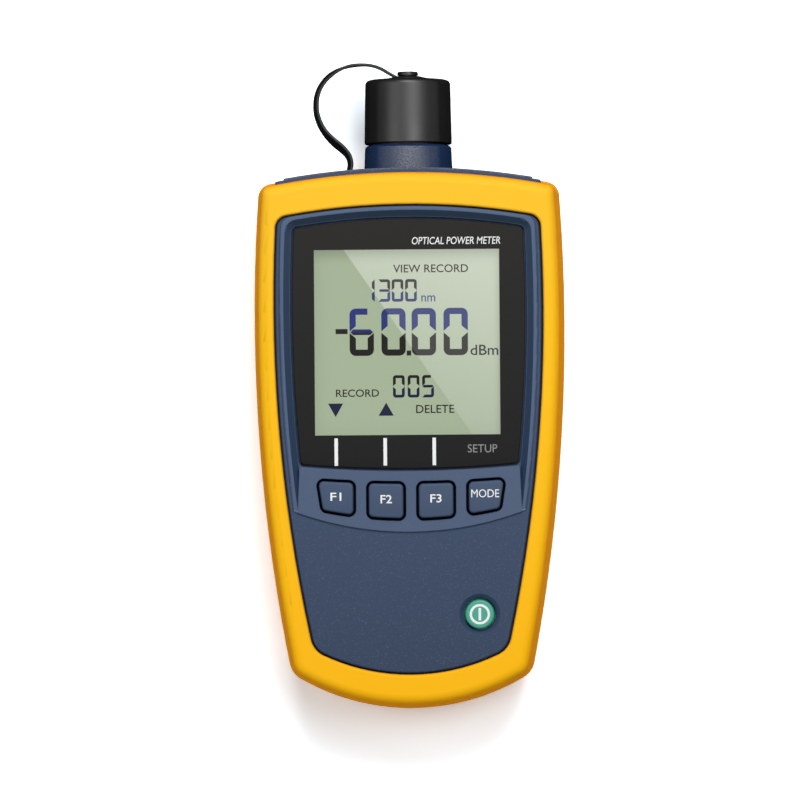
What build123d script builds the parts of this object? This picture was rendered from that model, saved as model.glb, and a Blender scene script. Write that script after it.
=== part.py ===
from build123d import *

import os
from math import cos, radians, sqrt, tan

# All sizes are in millimetres. The meter lies on its back: +Z leaves the display,
# +Y points to the optical port, and the widest outline is that of the rubber holster.

# Holster outline seen from the front
body_width = 81.0
holster_length = 140.6
side_radius = 470.0
widest_height = 101.0
crown_radius = 193.0
heel_radius = 58.0
crown_corner = 3.8
heel_corner = 6.0
least_corner = 2.0

# Holster section
holster_thickness = 37.5
parting_height = 17.0
front_draft = 6.0
rear_draft = 5.0
seam_round = 50.0
front_round = 2.6
rear_round = 3.0
holster_wall = 3.9
front_lip = 3.0
rear_lip = 2.5
rear_lip_width = 9.5
fit_gap = 0.15
top_shoulder = 6.0

# Opening in the holster's front lip
lip_side = 5.7
lip_crown = 9.9
lip_heel = 9.4
lip_side_radius = 410.0
lip_widest_height = 104.1
lip_heel_radius = 52.4
lip_crown_corner = 3.4
lip_heel_corner = 6.0
lip_gap = 0.45
lip_edge_round = 0.7

# Case halves
case_wall = 2.2
front_wall = 2.4
face_drop = 0.5
raised_step = 0.6
ridge_side = 0.9
face_round = 0.5
back_recess = 1.0
back_wall = 2.0
port_height = 18.5

# Display lens and its sloping surround
lens_side = 4.7
lens_crown = 3.65
lens_length = 64.6
lens_heel_radius = 310.0
lens_corner = 1.2
lens_thickness = 1.5
lens_recess = 2.0
lens_gap = 0.45
lens_bevel = 0.25
surround_slope = 1.7
lens_ledge = 1.7
border_side = 6.2
border_crown = 7.95
border_heel = 9.1

# Display module behind the lens
view_margin = 0.6
glass_margin = 2.6
glass_thickness = 1.9
glass_gap = 0.1
guide_thickness = 3.4
strip_width = 2.2
holder_wall = 1.4
holder_gap = 0.2

# Key panel and its four keys
panel_depth = 16.25
panel_radius = 85.0
panel_side = 6.5
panel_flare = 0.83
panel_end = 2.54
panel_gap = 0.2
key_count = 4
key_space = 3.98
key_row_offset = 0.34
key_gap = 0.7
key_drop = 3.85
key_margin = 3.5
key_foot_radius = 110.0
key_row_lean = 9.0
key_corner = 1.2
key_rise = 1.3
key_round = 0.5
key_flange = 0.75
key_flange_thickness = 1.2
key_travel = 1.0
key_stem_inset = 0.6
key_air = 0.3
key_stop = 0.2

# Power button
power_side = 17.0
power_height = 24.9
power_diameter = 7.5
power_gap = 0.45
power_dish_diameter = 10.5
power_dish_depth = 0.8
power_rise = 0.7
power_round = 0.6

# Keypad mat and circuit board
mat_thickness = 1.2
mat_gap = 0.4
mat_border = 2.1
board_thickness = 1.6
board_gap = 1.0
board_head_room = 12.6
board_heel_room = 13.5
processor_side = 12.0
processor_height = 1.6
memory_width = 8.0
memory_length = 6.0
memory_height = 1.4
coil_diameter = 7.0
coil_height = 2.6
chip_inset = 5.9

# Board posts, case bosses and screws
post_diameter = 5.0
post_gap = 0.6
board_screw_diameter = 2.2
board_screw_head = 4.2
board_screw_head_height = 1.6
board_screw_depth = 5.0
boss_diameter = 6.2
boss_gap = 0.9
boss_inset = 7.3
lower_boss_side = 10.3
case_screw_diameter = 2.9
case_screw_head = 4.8
case_screw_head_height = 2.2
case_screw_depth = 9.0
screw_gap = 0.1
upper_post_height = 115.0
lower_post_height = 37.0
upper_boss_height = 123.5

# Top panel with the port's neck
top_depth = 12.5
pad_side = 2.3
pad_margin = 0.35
pad_step = 0.5
pad_frame = 1.3
pad_skin = 2.5
pad_wall = 2.0
flange_reach = 1.2
flange_thickness = 1.6
neck_height = 6.2
neck_shoulder = 1.85
neck_draft = 0.3
neck_chamfer = 0.6
spigot_diameter = 18.8
spigot_height = 8.0
port_bore = 14.0

# Optical port: barrel, detector can and removable adapter
barrel_gap = 0.1
barrel_seat_gap = 0.3
barrel_flange_diameter = 17.0
barrel_flange_thickness = 1.5
barrel_tail_diameter = 12.6
barrel_tail = 4.0
barrel_rise = 3.0
barrel_window = 4.0
barrel_floor = 1.2
can_diameter = 9.2
can_height = 4.2
can_rim = 0.5
adapter_thread_diameter = 9.8
adapter_thread_length = 6.0
adapter_diameter = 13.0
adapter_rise = 12.6
adapter_nose_diameter = 8.6
adapter_nose_length = 4.2
adapter_flutes = 12
flute_diameter = 1.6
ferrule_bore = 2.5
flex_width = 6.0
flex_thickness = 0.3
flex_reach = 3.0
flex_lap = 5.0
flex_bend = 1.0

# Dust cap
cap_gap = 0.4
cap_height = 16.75
cap_wall = 1.8
cap_draft = 0.3
cap_fit = 0.2
cap_roof = 2.0
cap_round = 1.3
nub_stem_diameter = 3.6
nub_head_diameter = 5.4
nub_head_height = 0.9
nub_round = 0.35

# Tether strap between the case and the cap
strap_thickness = 1.1
strap_width = 4.2
strap_gap = 0.1
strap_ring_diameter = 9.6
strap_anchor_x = -15.6
strap_anchor_depth = 3.6
strap_slot_gap = 0.3
strap_bar = 2.2
strap_bar_thickness = 1.0
strap_foot = 1.6
strap_bow = 9.3
strap_shoulder = 2.0
strap_shoulder_run = 6.6
strap_loop = 3.0
strap_fall_start = 9.8
strap_fall_end = 4.6
strap_bend_share = 0.45

# Battery bay, cells and contacts
cell_diameter = 14.3
cell_length = 49.3
cell_nub_diameter = 5.5
cell_nub_length = 1.2
cell_gap = 0.4
cell_corner = 0.8
bay_wall = 1.6
bay_height = 18.0
plate_room = 1.0
spring_room = 4.6
contact_thickness = 0.4
contact_width = 8.0
contact_gap = 0.1
contact_margin = 3.2

# Battery cover
cover_height = 16.1
cover_border = 4.4
cover_gap = 0.25
cover_corner = 3.0
ledge_width = 2.2
ledge_thickness = 1.5
hook_width = 7.0
hook_reach = 2.0
hook_thickness = 1.2
hook_gap = 0.2
hook_spread = 9.5
thumb_width = 16.0
thumb_length = 9.0
thumb_depth = 0.6
thumb_ribs = 3
thumb_rib_width = 0.9
thumb_rib_pitch = 2.0


# Levels worked out from the sizes above
lip_z = holster_thickness - front_lip
shoulder_z = lip_z - fit_gap
face_z = holster_thickness - face_drop
raised_z = face_z + raised_step
lens_top_z = raised_z - lens_recess
lens_seat_z = lens_top_z - lens_thickness
display_wall_z = lens_seat_z - lens_ledge
key_wall_z = face_z - front_wall
glass_top_z = display_wall_z - glass_gap
glass_low_z = glass_top_z - glass_thickness
board_top_z = glass_low_z - guide_thickness
board_low_z = board_top_z - board_thickness
back_z = back_recess
cover_top_z = back_z + back_wall
rear_shoulder_z = rear_lip + fit_gap
rear_floor_z = rear_shoulder_z + case_wall

case_inset = holster_wall + fit_gap
cavity_inset = case_inset + case_wall
pad_reach = spigot_diameter / 2 + neck_shoulder + neck_draft + pad_margin
pad_low_z = port_height - pad_reach
pad_high_z = port_height + pad_reach
frame_low_z = pad_low_z - pad_frame
frame_high_z = pad_high_z + pad_frame
flange_low_z = max(pad_low_z - flange_reach, rear_floor_z + fit_gap)
flange_high_z = min(pad_high_z + flange_reach, display_wall_z - fit_gap)


def strap_points():
    """Centre line of the strap, measured from the port's axis and the crown of the case."""
    ring_y = neck_height + cap_gap + cap_height + strap_gap + strap_thickness / 2
    left_x = strap_anchor_x - strap_bow
    low = [(strap_anchor_x, -strap_anchor_depth), (strap_anchor_x, strap_foot)]
    side = [(left_x, strap_foot + strap_bow + strap_foot / 2), (left_x, ring_y - strap_shoulder)]
    crest = [(left_x + strap_shoulder_run, ring_y + strap_loop), (-strap_fall_start, ring_y + strap_loop)]
    return low + side + crest + [(-strap_fall_end, ring_y), (0, ring_y)]


def strap_radii(points):
    """Bend radius at each inner point, as large as its two runs allow."""
    radii = []
    for before, here, after in zip(points, points[1:], points[2:]):
        run_in = Vector(*here) - Vector(*before)
        run_out = Vector(*after) - Vector(*here)
        shorter = min(run_in.length, run_out.length)
        radii.append(strap_bend_share * shorter / tan(radians(run_in.get_angle(run_out)) / 2))
    return radii


strap_path_points = strap_points()
strap_bends = strap_radii(strap_path_points)
strap_path = FilletPolyline(*strap_path_points, radius=strap_bends)
strap_crest = strap_path.bounding_box().max.Y + strap_thickness / 2

overall_length = holster_length + strap_crest
heel_y = -overall_length / 2
crown_y = heel_y + holster_length
wide_y = heel_y + widest_height
lip_wide_y = heel_y + lip_widest_height
lip_crown_y = crown_y - lip_crown
lens_crown_y = lip_crown_y - lens_crown
lens_low_y = lens_crown_y - lens_length
panel_low_y = lens_low_y - panel_depth
power_y = heel_y + power_height
top_opening_half = body_width / 2 - top_shoulder
pad_half = top_opening_half - pad_side
lip_half = body_width / 2 - lip_side
lens_half = lip_half - lens_side
lens_side_radius = lip_side_radius - lens_side
lens_crown_radius = crown_radius - lip_crown - lens_crown
window_half = lens_half - border_side
window_high_y = lens_crown_y - border_crown
window_low_y = lens_low_y + border_heel
window_y = (window_high_y + window_low_y) / 2
window_length = window_high_y - window_low_y
panel_half_top = lip_half - panel_side
panel_half_low = panel_half_top + panel_flare
key_row_y = lens_low_y - key_drop
key_pitch = 2 * (panel_half_top - panel_end) / key_count
key_width = key_pitch - key_space
power_x = lip_half - power_side
neck_top_y = crown_y + neck_height
cap_rim_y = neck_top_y + cap_gap
glass_width = 2 * (window_half + glass_margin)
glass_length = window_length + 2 * glass_margin

bay_half = cell_diameter + 1.5 * cell_gap
bay_length = cell_length + cell_nub_length + plate_room + spring_room
cover_length = bay_length + 2 * cover_border
cover_low_y = heel_y + cover_height
cover_high_y = cover_low_y + cover_length
bay_low_y = cover_low_y + cover_border
bay_high_y = bay_low_y + bay_length
cell_z = cover_top_z + cell_gap + cell_diameter / 2


def arc_region(half, side_r, mid_y, top_y, top_r, low_y, low_r):
    """Area between two side arcs, a crown arc above and a heel arc below."""
    reach = side_r - half
    sides = Pos(-reach, mid_y) * Circle(side_r) & Pos(reach, mid_y) * Circle(side_r)
    heel_mid = low_y + low_r
    above = Pos(0, heel_mid + holster_length) * Rectangle(2 * low_r, 2 * holster_length)
    heel = Pos(0, heel_mid) * Circle(low_r) + above
    return sides & heel & Pos(0, top_y - top_r) * Circle(top_r)


def rounded(region, crown_round, heel_round):
    """The area with its two crown corners and its two heel corners rounded."""
    region = fillet(region.vertices().sort_by(Axis.Y)[-2:], crown_round)
    return fillet(region.vertices().sort_by(Axis.Y)[:2], heel_round)


def body_outline(inset):
    """Holster outline drawn in by an even inset."""
    half = body_width / 2 - inset
    region = arc_region(half, side_radius - inset, wide_y, crown_y - inset,
                        crown_radius - inset, heel_y + inset, heel_radius - inset)
    return rounded(region, max(crown_corner - inset, least_corner),
                   max(heel_corner - inset, least_corner))


def lip_outline(inset):
    """Front opening of the holster drawn in by an even inset."""
    region = arc_region(lip_half - inset, lip_side_radius - inset, lip_wide_y,
                        lip_crown_y - inset, crown_radius - lip_crown - inset,
                        heel_y + lip_heel + inset, lip_heel_radius - inset)
    return rounded(region, lip_crown_corner - inset, lip_heel_corner - inset)


def raised_outline(inset):
    """Raised upper part of the face, ended below by the arc of the key panel."""
    side = inset + ridge_side
    region = arc_region(lip_half - side, lip_side_radius - side, lip_wide_y,
                        lip_crown_y - inset, crown_radius - lip_crown - inset,
                        panel_low_y, panel_radius)
    return fillet(region.vertices().sort_by(Axis.Y)[-2:], lip_crown_corner - inset)


def lens_outline(grow):
    """Display lens grown by an even amount."""
    region = arc_region(lens_half + grow, lens_side_radius + grow, lip_wide_y,
                        lens_crown_y + grow, lens_crown_radius + grow,
                        lens_low_y - grow, lens_heel_radius + grow)
    return rounded(region, lens_corner + grow, lens_corner + grow)


def surround_outline(grow):
    """Recess round the lens, run on down past both ends of the key panel."""
    region = arc_region(lens_half + grow, lens_side_radius + grow, lip_wide_y,
                        lens_crown_y + grow, lens_crown_radius + grow,
                        panel_low_y + face_round, panel_radius - face_round)
    return fillet(region.vertices().sort_by(Axis.Y)[-2:], lens_corner + grow)


def side_x(y, inset):
    """Half width of the body outline at a height, drawn in by an inset."""
    radius = side_radius - inset
    return body_width / 2 - inset - (radius - sqrt(radius**2 - (y - wide_y) ** 2))


# The battery cover's sides lie midway between the bay and the edge of the case's back.
cover_half = (bay_half + side_x(cover_low_y, rear_lip_width + lip_gap)) / 2


def slab(region, low, high):
    """The area raised between two levels."""
    return extrude(Pos(0, 0, low) * region, high - low, dir=(0, 0, 1))


def soft_slab(region, low, high, edge):
    """The area raised between two levels, with its upper edge rounded."""
    block = slab(region, low, high)
    return fillet(block.edges().group_by(Axis.Z)[-1], edge)


def block(x, y, low, high):
    """Box between two corners given as ranges in X and Y and two levels."""
    width = x[1] - x[0]
    length = y[1] - y[0]
    place = Pos((x[0] + x[1]) / 2, (y[0] + y[1]) / 2)
    return slab(place * Rectangle(width, length), low, high)


def post(x, y, diameter, low, high):
    """Round pillar between two levels."""
    return slab(Pos(x, y) * Circle(diameter / 2), low, high)


def turned(*points, radius=0):
    """Solid turned about the port's axis from radius and Y pairs."""
    profile = make_face(FilletPolyline(*points, radius=radius, close=True))
    return Pos(0, 0, port_height) * revolve(profile, Axis.Y)


def both_sides(x, y):
    """A place and its twin on the other side of the centre line."""
    return [(-x, y), (x, y)]


def post_places():
    """Board posts, beside the display and beside the battery bay."""
    high = heel_y + upper_post_height
    low = heel_y + lower_post_height
    inset = cavity_inset + post_gap + post_diameter / 2
    return both_sides(side_x(high, inset), high) + both_sides(side_x(low, inset), low)


def boss_places():
    """Case screw bosses, near the four corners."""
    high = heel_y + upper_boss_height
    low = cover_low_y - cover_gap - boss_gap - boss_diameter / 2
    low_x = side_x(low, lower_boss_side)
    return both_sides(side_x(high, boss_inset), high) + both_sides(low_x, low)


def top_column(half):
    """Area round the middle of the crown, used to trim pieces of the top end."""
    return Pos(0, crown_y) * Rectangle(2 * half, 2 * top_depth)


def crown_frame(low, high):
    """Part of the case that fills the holster's top opening, up to two levels."""
    region = body_outline(pad_step) - body_outline(case_inset + case_wall)
    return slab(region & top_column(top_opening_half - fit_gap), low, high)


def pad_opening():
    """Hole through the crown of the case for the top panel."""
    half = pad_half + fit_gap
    y = (crown_y - top_depth, crown_y + holster_wall)
    return block((-half, half), y, pad_low_z - fit_gap, pad_high_z + fit_gap)


def drafted_block():
    """Outer form of the holster: drafted both ways, with every outer edge rounded."""
    half_angle = radians((front_draft + rear_draft) / 2)
    seam_rise = seam_round * (1 / cos(half_angle) - 1)
    middle = Pos(0, 0, parting_height) * body_outline(-seam_rise)
    solid = extrude(middle, holster_thickness - parting_height, taper=front_draft)
    solid += extrude(middle, parting_height, dir=(0, 0, -1), taper=rear_draft)
    seam = [edge for edge in solid.edges() if abs(edge.center().Z - parting_height) < fit_gap]
    solid = fillet(seam, seam_round)
    solid = fillet(solid.edges().group_by(Axis.Z)[-1], front_round)
    return fillet(solid.edges().group_by(Axis.Z)[0], rear_round)


def make_holster():
    """Rubber holster: rounded ring with front and rear lips and an open top."""
    ring = drafted_block()
    ring -= slab(body_outline(holster_wall), rear_lip, lip_z)
    ring -= slab(lip_outline(0), lip_z - fit_gap, holster_thickness + fit_gap)
    ring -= slab(body_outline(rear_lip_width), -fit_gap, rear_lip + fit_gap)
    reach = lip_outline(-fit_gap).bounding_box()
    top = ring.edges().group_by(Axis.Z)[-1]
    ring = fillet([edge for edge in top if reach.min.Y < edge.center().Y < reach.max.Y
                   and abs(edge.center().X) < reach.max.X], lip_edge_round)
    half = top_opening_half
    y = (crown_y - 2 * holster_wall, crown_y + holster_wall)
    return ring - block((-half, half), y, frame_low_z - fit_gap, frame_high_z + fit_gap)


def key_outline(index, grow):
    """One key of the row, between the lens and the panel's lower arc."""
    x = key_row_offset + (index - (key_count - 1) / 2) * key_pitch
    half = key_width / 2 + grow
    lean = key_width * tan(radians(key_row_lean))
    left = lean if index == 0 else 0
    right = lean if index == key_count - 1 else 0
    high = key_row_y + key_width
    low = key_row_y - 2 * key_width
    area = Polygon((x - half - left, high), (x + half + right, high),
                   (x + half - 2 * right, low), (x - half + 2 * left, low), align=None)
    area -= Pos(0, lens_low_y + lens_heel_radius) * Circle(lens_heel_radius + key_drop - grow)
    foot_y = panel_low_y + key_margin + key_foot_radius
    area &= Pos(0, foot_y) * Circle(key_foot_radius + grow)
    return fillet(area.vertices(), key_corner + grow)


def panel_outline():
    """Key panel: from the lens down to its lower arc, with nearly straight ends."""
    top = lens_low_y + 2 * lens_corner
    low = panel_low_y
    ends = Polygon((-panel_half_top, top), (panel_half_top, top),
                   (panel_half_low, low), (-panel_half_low, low), align=None)
    reach = lens_heel_radius + lens_gap + panel_gap
    above = Pos(0, lens_low_y + lens_heel_radius) * Circle(reach)
    return (ends & raised_outline(lip_gap + face_round)) - above


def make_front_case():
    """Front shell: face, raised surround, lens recess, key panel and posts."""
    shell = slab(body_outline(case_inset), port_height, shoulder_z)
    shell += soft_slab(lip_outline(lip_gap), shoulder_z - case_wall, face_z, face_round)
    shell += soft_slab(raised_outline(lip_gap), shoulder_z - case_wall, raised_z, face_round)
    shell += crown_frame(port_height, frame_high_z)
    shell -= slab(body_outline(cavity_inset), port_height, display_wall_z)
    shell -= key_hollow()
    shell -= lens_surround()
    shell += slab(panel_outline(), key_wall_z, raised_z)
    shell -= slab(lens_outline(lens_gap), lens_seat_z, raised_z)
    margin = view_margin
    view = Rectangle(2 * (window_half + margin), window_length + 2 * margin)
    shell -= slab(Pos(0, window_y) * view, display_wall_z, lens_seat_z)
    for index in range(key_count):
        shell -= slab(key_outline(index, key_gap), key_wall_z, raised_z)
    shell -= power_dish()
    shell -= pad_opening()
    for x, y in post_places():
        shell += post(x, y, post_diameter, board_top_z, display_wall_z)
        pilot = board_screw_diameter + 2 * screw_gap
        shell -= post(x, y, pilot, board_top_z, board_top_z + board_screw_depth)
    for x, y in boss_places():
        shell += post(x, y, boss_diameter, port_height, display_wall_z)
        pilot = case_screw_diameter + 2 * screw_gap
        shell -= post(x, y, pilot, port_height, port_height + case_screw_depth)
    return shell


def key_hollow():
    """Deeper hollow behind the key panel and the lower face."""
    reach = lens_heel_radius + lens_gap + lens_ledge
    region = lip_outline(lip_gap + case_wall) - Pos(0, lens_low_y + lens_heel_radius) * Circle(reach)
    return slab(region, display_wall_z, key_wall_z)


def lens_surround():
    """Recess with sloping sides that runs from the ridge down to the lens."""
    low = Pos(0, 0, lens_top_z) * surround_outline(lens_gap + panel_gap)
    high = Pos(0, 0, raised_z) * surround_outline(lens_gap + surround_slope)
    return loft([low, high], ruled=True)


def power_dish():
    """Hole and countersink of the power button."""
    hole = power_diameter / 2 + power_gap
    dish = Cone(hole, power_dish_diameter / 2, power_dish_depth)
    dish = Pos(power_x, power_y, face_z - power_dish_depth / 2) * dish
    return dish + post(power_x, power_y, 2 * hole, key_wall_z, face_z)


def make_rear_case():
    """Rear shell: back, battery bay, cover seat and screw bosses."""
    shell = slab(body_outline(case_inset), rear_shoulder_z, port_height)
    shell += slab(body_outline(rear_lip_width + lip_gap), back_z, rear_floor_z)
    shell += crown_frame(frame_low_z, port_height)
    shell -= slab(body_outline(cavity_inset), rear_floor_z, port_height)
    inner = body_outline(rear_lip_width + lip_gap + case_wall)
    shell -= slab(inner, cover_top_z, rear_floor_z)
    for x, y in boss_places():
        shell += post(x, y, boss_diameter, rear_shoulder_z, port_height)
    shell += bay_walls()
    shell -= bay_space()
    shell -= pad_opening()
    for x, y in boss_places():
        head = case_screw_head + 2 * screw_gap
        shell -= post(x, y, head, rear_shoulder_z, rear_shoulder_z + case_screw_head_height)
        shell -= post(x, y, case_screw_diameter + 2 * screw_gap, rear_shoulder_z, port_height)
    return shell


def bay_walls():
    """Outer form of the battery bay with the ledge that the cover rests on."""
    half = bay_half + bay_wall
    y = (bay_low_y - bay_wall, bay_high_y + bay_wall)
    walls = block((-half, half), y, cover_top_z, bay_height + bay_wall)
    ledge = cover_half + ledge_width
    y = (cover_low_y - ledge_width, cover_high_y + ledge_width)
    return walls + block((-ledge, ledge), y, cover_top_z, cover_top_z + ledge_thickness)


def bay_space():
    """Room for the cells, the cover's opening and the slots of its hooks."""
    y = (bay_low_y, bay_high_y)
    space = block((-bay_half, bay_half), y, back_z, bay_height)
    half = cover_half + cover_gap
    y = (cover_low_y - cover_gap, cover_high_y + cover_gap)
    mouth = fillet(Rectangle(2 * half, y[1] - y[0]).vertices(), cover_corner + cover_gap)
    space += slab(Pos(0, (y[0] + y[1]) / 2) * mouth, back_z, cover_top_z)
    for x in (-hook_spread, hook_spread):
        wide = hook_width / 2 + cover_gap
        y = (cover_low_y - hook_reach - cover_gap, bay_low_y)
        high = cover_top_z + hook_gap + 2 * hook_thickness + hook_reach
        space += block((x - wide, x + wide), y, cover_top_z, high)
    return space


def make_battery_cover():
    """Back cover with two hooks at its lower edge and a thumb grip at the other."""
    outline = fillet(Rectangle(2 * cover_half, cover_length).vertices(), cover_corner)
    plate = slab(Pos(0, (cover_low_y + cover_high_y) / 2) * outline, back_z, cover_top_z)
    for x in (-hook_spread, hook_spread):
        side = (x - hook_width / 2, x + hook_width / 2)
        high = cover_top_z + hook_gap + hook_thickness
        root = cover_low_y + hook_thickness + hook_reach
        plate += block(side, (cover_low_y + cover_gap, root), cover_top_z, high)
        tip = (cover_low_y - hook_reach, root)
        plate += block(side, tip, cover_top_z + hook_gap, high)
    grip_y = cover_high_y - thumb_length
    grip = fillet(Rectangle(thumb_width, thumb_length).vertices(), cover_corner)
    plate -= slab(Pos(0, grip_y) * grip, back_z, back_z + thumb_depth)
    for index in range(thumb_ribs):
        y = grip_y + (index - (thumb_ribs - 1) / 2) * thumb_rib_pitch
        rib = Pos(0, y) * Rectangle(thumb_width - 2 * cover_corner, thumb_rib_width)
        plate += slab(rib, back_z, back_z + thumb_depth)
    return plate


def make_cell(side):
    """One AA cell; the left one has its nub up and the right one down."""
    body = Cylinder(cell_diameter / 2, cell_length)
    body = fillet(body.edges().filter_by(GeomType.CIRCLE), cell_corner)
    nub = Cylinder(cell_nub_diameter / 2, cell_nub_length)
    body += Pos(0, 0, (cell_length + cell_nub_length) / 2) * nub
    turn = Rot(-90, 0, 0) if side < 0 else Rot(90, 0, 0)
    x = side * (cell_diameter + cell_gap) / 2
    if side < 0:
        y = bay_high_y - plate_room - cell_nub_length - cell_length / 2
    else:
        y = bay_low_y + plate_room + cell_nub_length + cell_length / 2
    return Pos(x, y, cell_z) * turn * body


def plus_plate(x, wall_y, way):
    """Flat contact with a raised pip that meets a cell's nub."""
    low = cell_z - cell_diameter / 2 + contact_margin
    high = cell_z + cell_diameter / 2 - contact_margin
    half = contact_width / 2
    y = sorted((wall_y, wall_y + way * contact_thickness))
    plate = block((x - half, x + half), y, low, high)
    pip = plate_room - contact_thickness - contact_gap
    place = Pos(x, wall_y + way * (contact_thickness + pip / 2), cell_z)
    return plate + place * Rot(90, 0, 0) * Cylinder(cell_nub_diameter / 3, pip)


def minus_spring(x, wall_y, way):
    """Bent leaf that stands off the wall and meets a cell's flat end."""
    low = cell_z - cell_diameter / 2 + contact_margin
    high = cell_z + cell_diameter / 2 - contact_margin
    half = contact_thickness / 2
    reach = spring_room - contact_gap - half
    points = [(half, low), (half, high), (reach, cell_z), (half + reach / 2, low)]
    line = FilletPolyline(*points, radius=[contact_thickness, contact_thickness])
    strip = make_face(offset(line, half, side=Side.BOTH))
    leaf = extrude(strip, contact_width / 2, both=True)
    to_place = Plane(origin=(x, wall_y, 0), x_dir=(0, way, 0), z_dir=(way, 0, 0))
    return to_place.location * leaf


def make_upper_contacts():
    """The two separate contacts at the upper end of the bay."""
    x = (cell_diameter + cell_gap) / 2
    return Compound(children=[plus_plate(-x, bay_high_y, -1), minus_spring(x, bay_high_y, -1)])


def make_battery_bridge():
    """One strip at the lower end that joins a spring and a plate."""
    x = (cell_diameter + cell_gap) / 2
    low = cell_z - cell_diameter / 2 + contact_margin
    y = (bay_low_y, bay_low_y + contact_thickness)
    tie = block((-x, x), y, low, cell_z)
    return tie + minus_spring(-x, bay_low_y, 1) + plus_plate(x, bay_low_y, 1)


def make_display_lens():
    """Clear front plate with a bevelled upper edge."""
    plate = slab(lens_outline(0), lens_seat_z, lens_top_z)
    return chamfer(plate.edges().group_by(Axis.Z)[-1], lens_bevel)


def make_lcd_panel():
    """Two-layer display glass; the rear layer carries a contact ledge at both ends."""
    place = Pos(0, window_y)
    half = glass_thickness / 2
    front = place * Rectangle(glass_width, glass_length - 2 * strip_width)
    rear = place * Rectangle(glass_width, glass_length)
    panel = slab(rear, glass_low_z, glass_low_z + half)
    return panel + slab(front, glass_low_z + half, glass_top_z)


def make_light_guide():
    """Backlight plate between the two contact strips."""
    length = glass_length - 2 * (strip_width + holder_gap)
    return slab(Pos(0, window_y) * Rectangle(glass_width, length), board_top_z, glass_low_z)


def make_contact_strips():
    """Two rubber contact strips between the glass and the board."""
    y = (glass_length - strip_width) / 2
    bars = []
    for side in (-1, 1):
        bar = Pos(0, window_y + side * y) * Rectangle(glass_width, strip_width)
        bars.append(slab(bar, board_top_z, glass_low_z))
    return Compound(children=bars)


def make_lcd_holder():
    """Frame that keeps the glass and the light guide square on the board."""
    inner = Rectangle(glass_width + 2 * holder_gap, glass_length + 2 * holder_gap)
    grow = 2 * (holder_gap + holder_wall)
    outer = fillet(Rectangle(glass_width + grow, glass_length + grow).vertices(), holder_wall)
    return slab(Pos(0, window_y) * (outer - inner), board_top_z, glass_top_z)


def key_solid(shape, top_z, wall_z, edge):
    """A key from its outline function: cap, hidden flange and stem with its contact."""
    flange_z = wall_z - key_air
    cap = soft_slab(shape(0), flange_z, top_z, edge)
    cap += slab(shape(key_gap + key_flange), flange_z - key_flange_thickness, flange_z)
    return cap + slab(shape(-key_stem_inset), stem_low_z(), flange_z)


def stem_low_z():
    """Lower end of each key's stem when the key is up."""
    return board_top_z + key_travel + key_stop


def make_key(index):
    """One key of the row."""
    top = raised_z + key_rise
    return key_solid(lambda grow: key_outline(index, grow), top, key_wall_z, key_round)


def power_outline(grow):
    """Round outline of the power button."""
    return Pos(power_x, power_y) * Circle(power_diameter / 2 + grow)


def make_power_button():
    """Round power button."""
    return key_solid(power_outline, face_z + power_rise, key_wall_z, power_round)


def make_keypad_mat():
    """Rubber mat on the board, with a tongue that reaches the power button."""
    high = key_row_y + mat_border
    low = panel_low_y
    half = key_count * key_pitch / 2 + mat_border / 2
    row = Pos(0, (high + low) / 2) * Rectangle(2 * half, high - low)
    reach = power_diameter / 2 + mat_border
    foot = power_y - reach
    tongue = Pos(power_x, (low + foot) / 2) * Rectangle(2 * reach, low - foot)
    mat = row + tongue
    mat = fillet(mat.vertices(), key_corner)
    for index in range(key_count):
        mat -= key_outline(index, mat_gap - key_stem_inset)
    mat -= power_outline(mat_gap - key_stem_inset)
    return slab(mat, board_top_z, board_top_z + mat_thickness)


def make_main_board():
    """Circuit board, cut back round the case bosses."""
    area = body_outline(cavity_inset + board_gap)
    high = crown_y - board_head_room
    low = heel_y + board_heel_room
    area &= Pos(0, (high + low) / 2) * Rectangle(body_width, high - low)
    for x, y in boss_places():
        area -= Pos(x, y) * Circle(boss_diameter / 2 + board_gap)
    for x, y in post_places():
        area -= Pos(x, y) * Circle(board_screw_diameter / 2 + screw_gap)
    return slab(area, board_low_z, board_top_z)


def make_board_chips():
    """The larger parts on the underside of the board."""
    main = Pos(0, window_y) * Rectangle(processor_side, processor_side)
    chips = [slab(main, board_low_z - processor_height, board_low_z)]
    spread = window_half - chip_inset
    for x, y in both_sides(spread, window_y + spread):
        memory = Pos(x, y) * Rectangle(memory_width, memory_length)
        chips.append(slab(memory, board_low_z - memory_height, board_low_z))
    for x, y in both_sides(spread, window_y - spread):
        chips.append(post(x, y, coil_diameter, board_low_z - coil_height, board_low_z))
    return Compound(children=chips)


def make_board_screws():
    """Four short screws that hold the board on its posts."""
    screws = []
    for x, y in post_places():
        head = post(x, y, board_screw_head, board_low_z - board_screw_head_height, board_low_z)
        tip = board_top_z + board_screw_depth - screw_gap
        screws.append(head + post(x, y, board_screw_diameter, board_low_z, tip))
    return Compound(children=screws)


def make_case_screws():
    """Four long screws, from the rear shell into the front shell."""
    screws = []
    seat = rear_shoulder_z + case_screw_head_height
    for x, y in boss_places():
        head = post(x, y, case_screw_head, rear_shoulder_z, seat)
        tip = port_height + case_screw_depth - screw_gap
        screws.append(head + post(x, y, case_screw_diameter, seat, tip))
    return Compound(children=screws)


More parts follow.
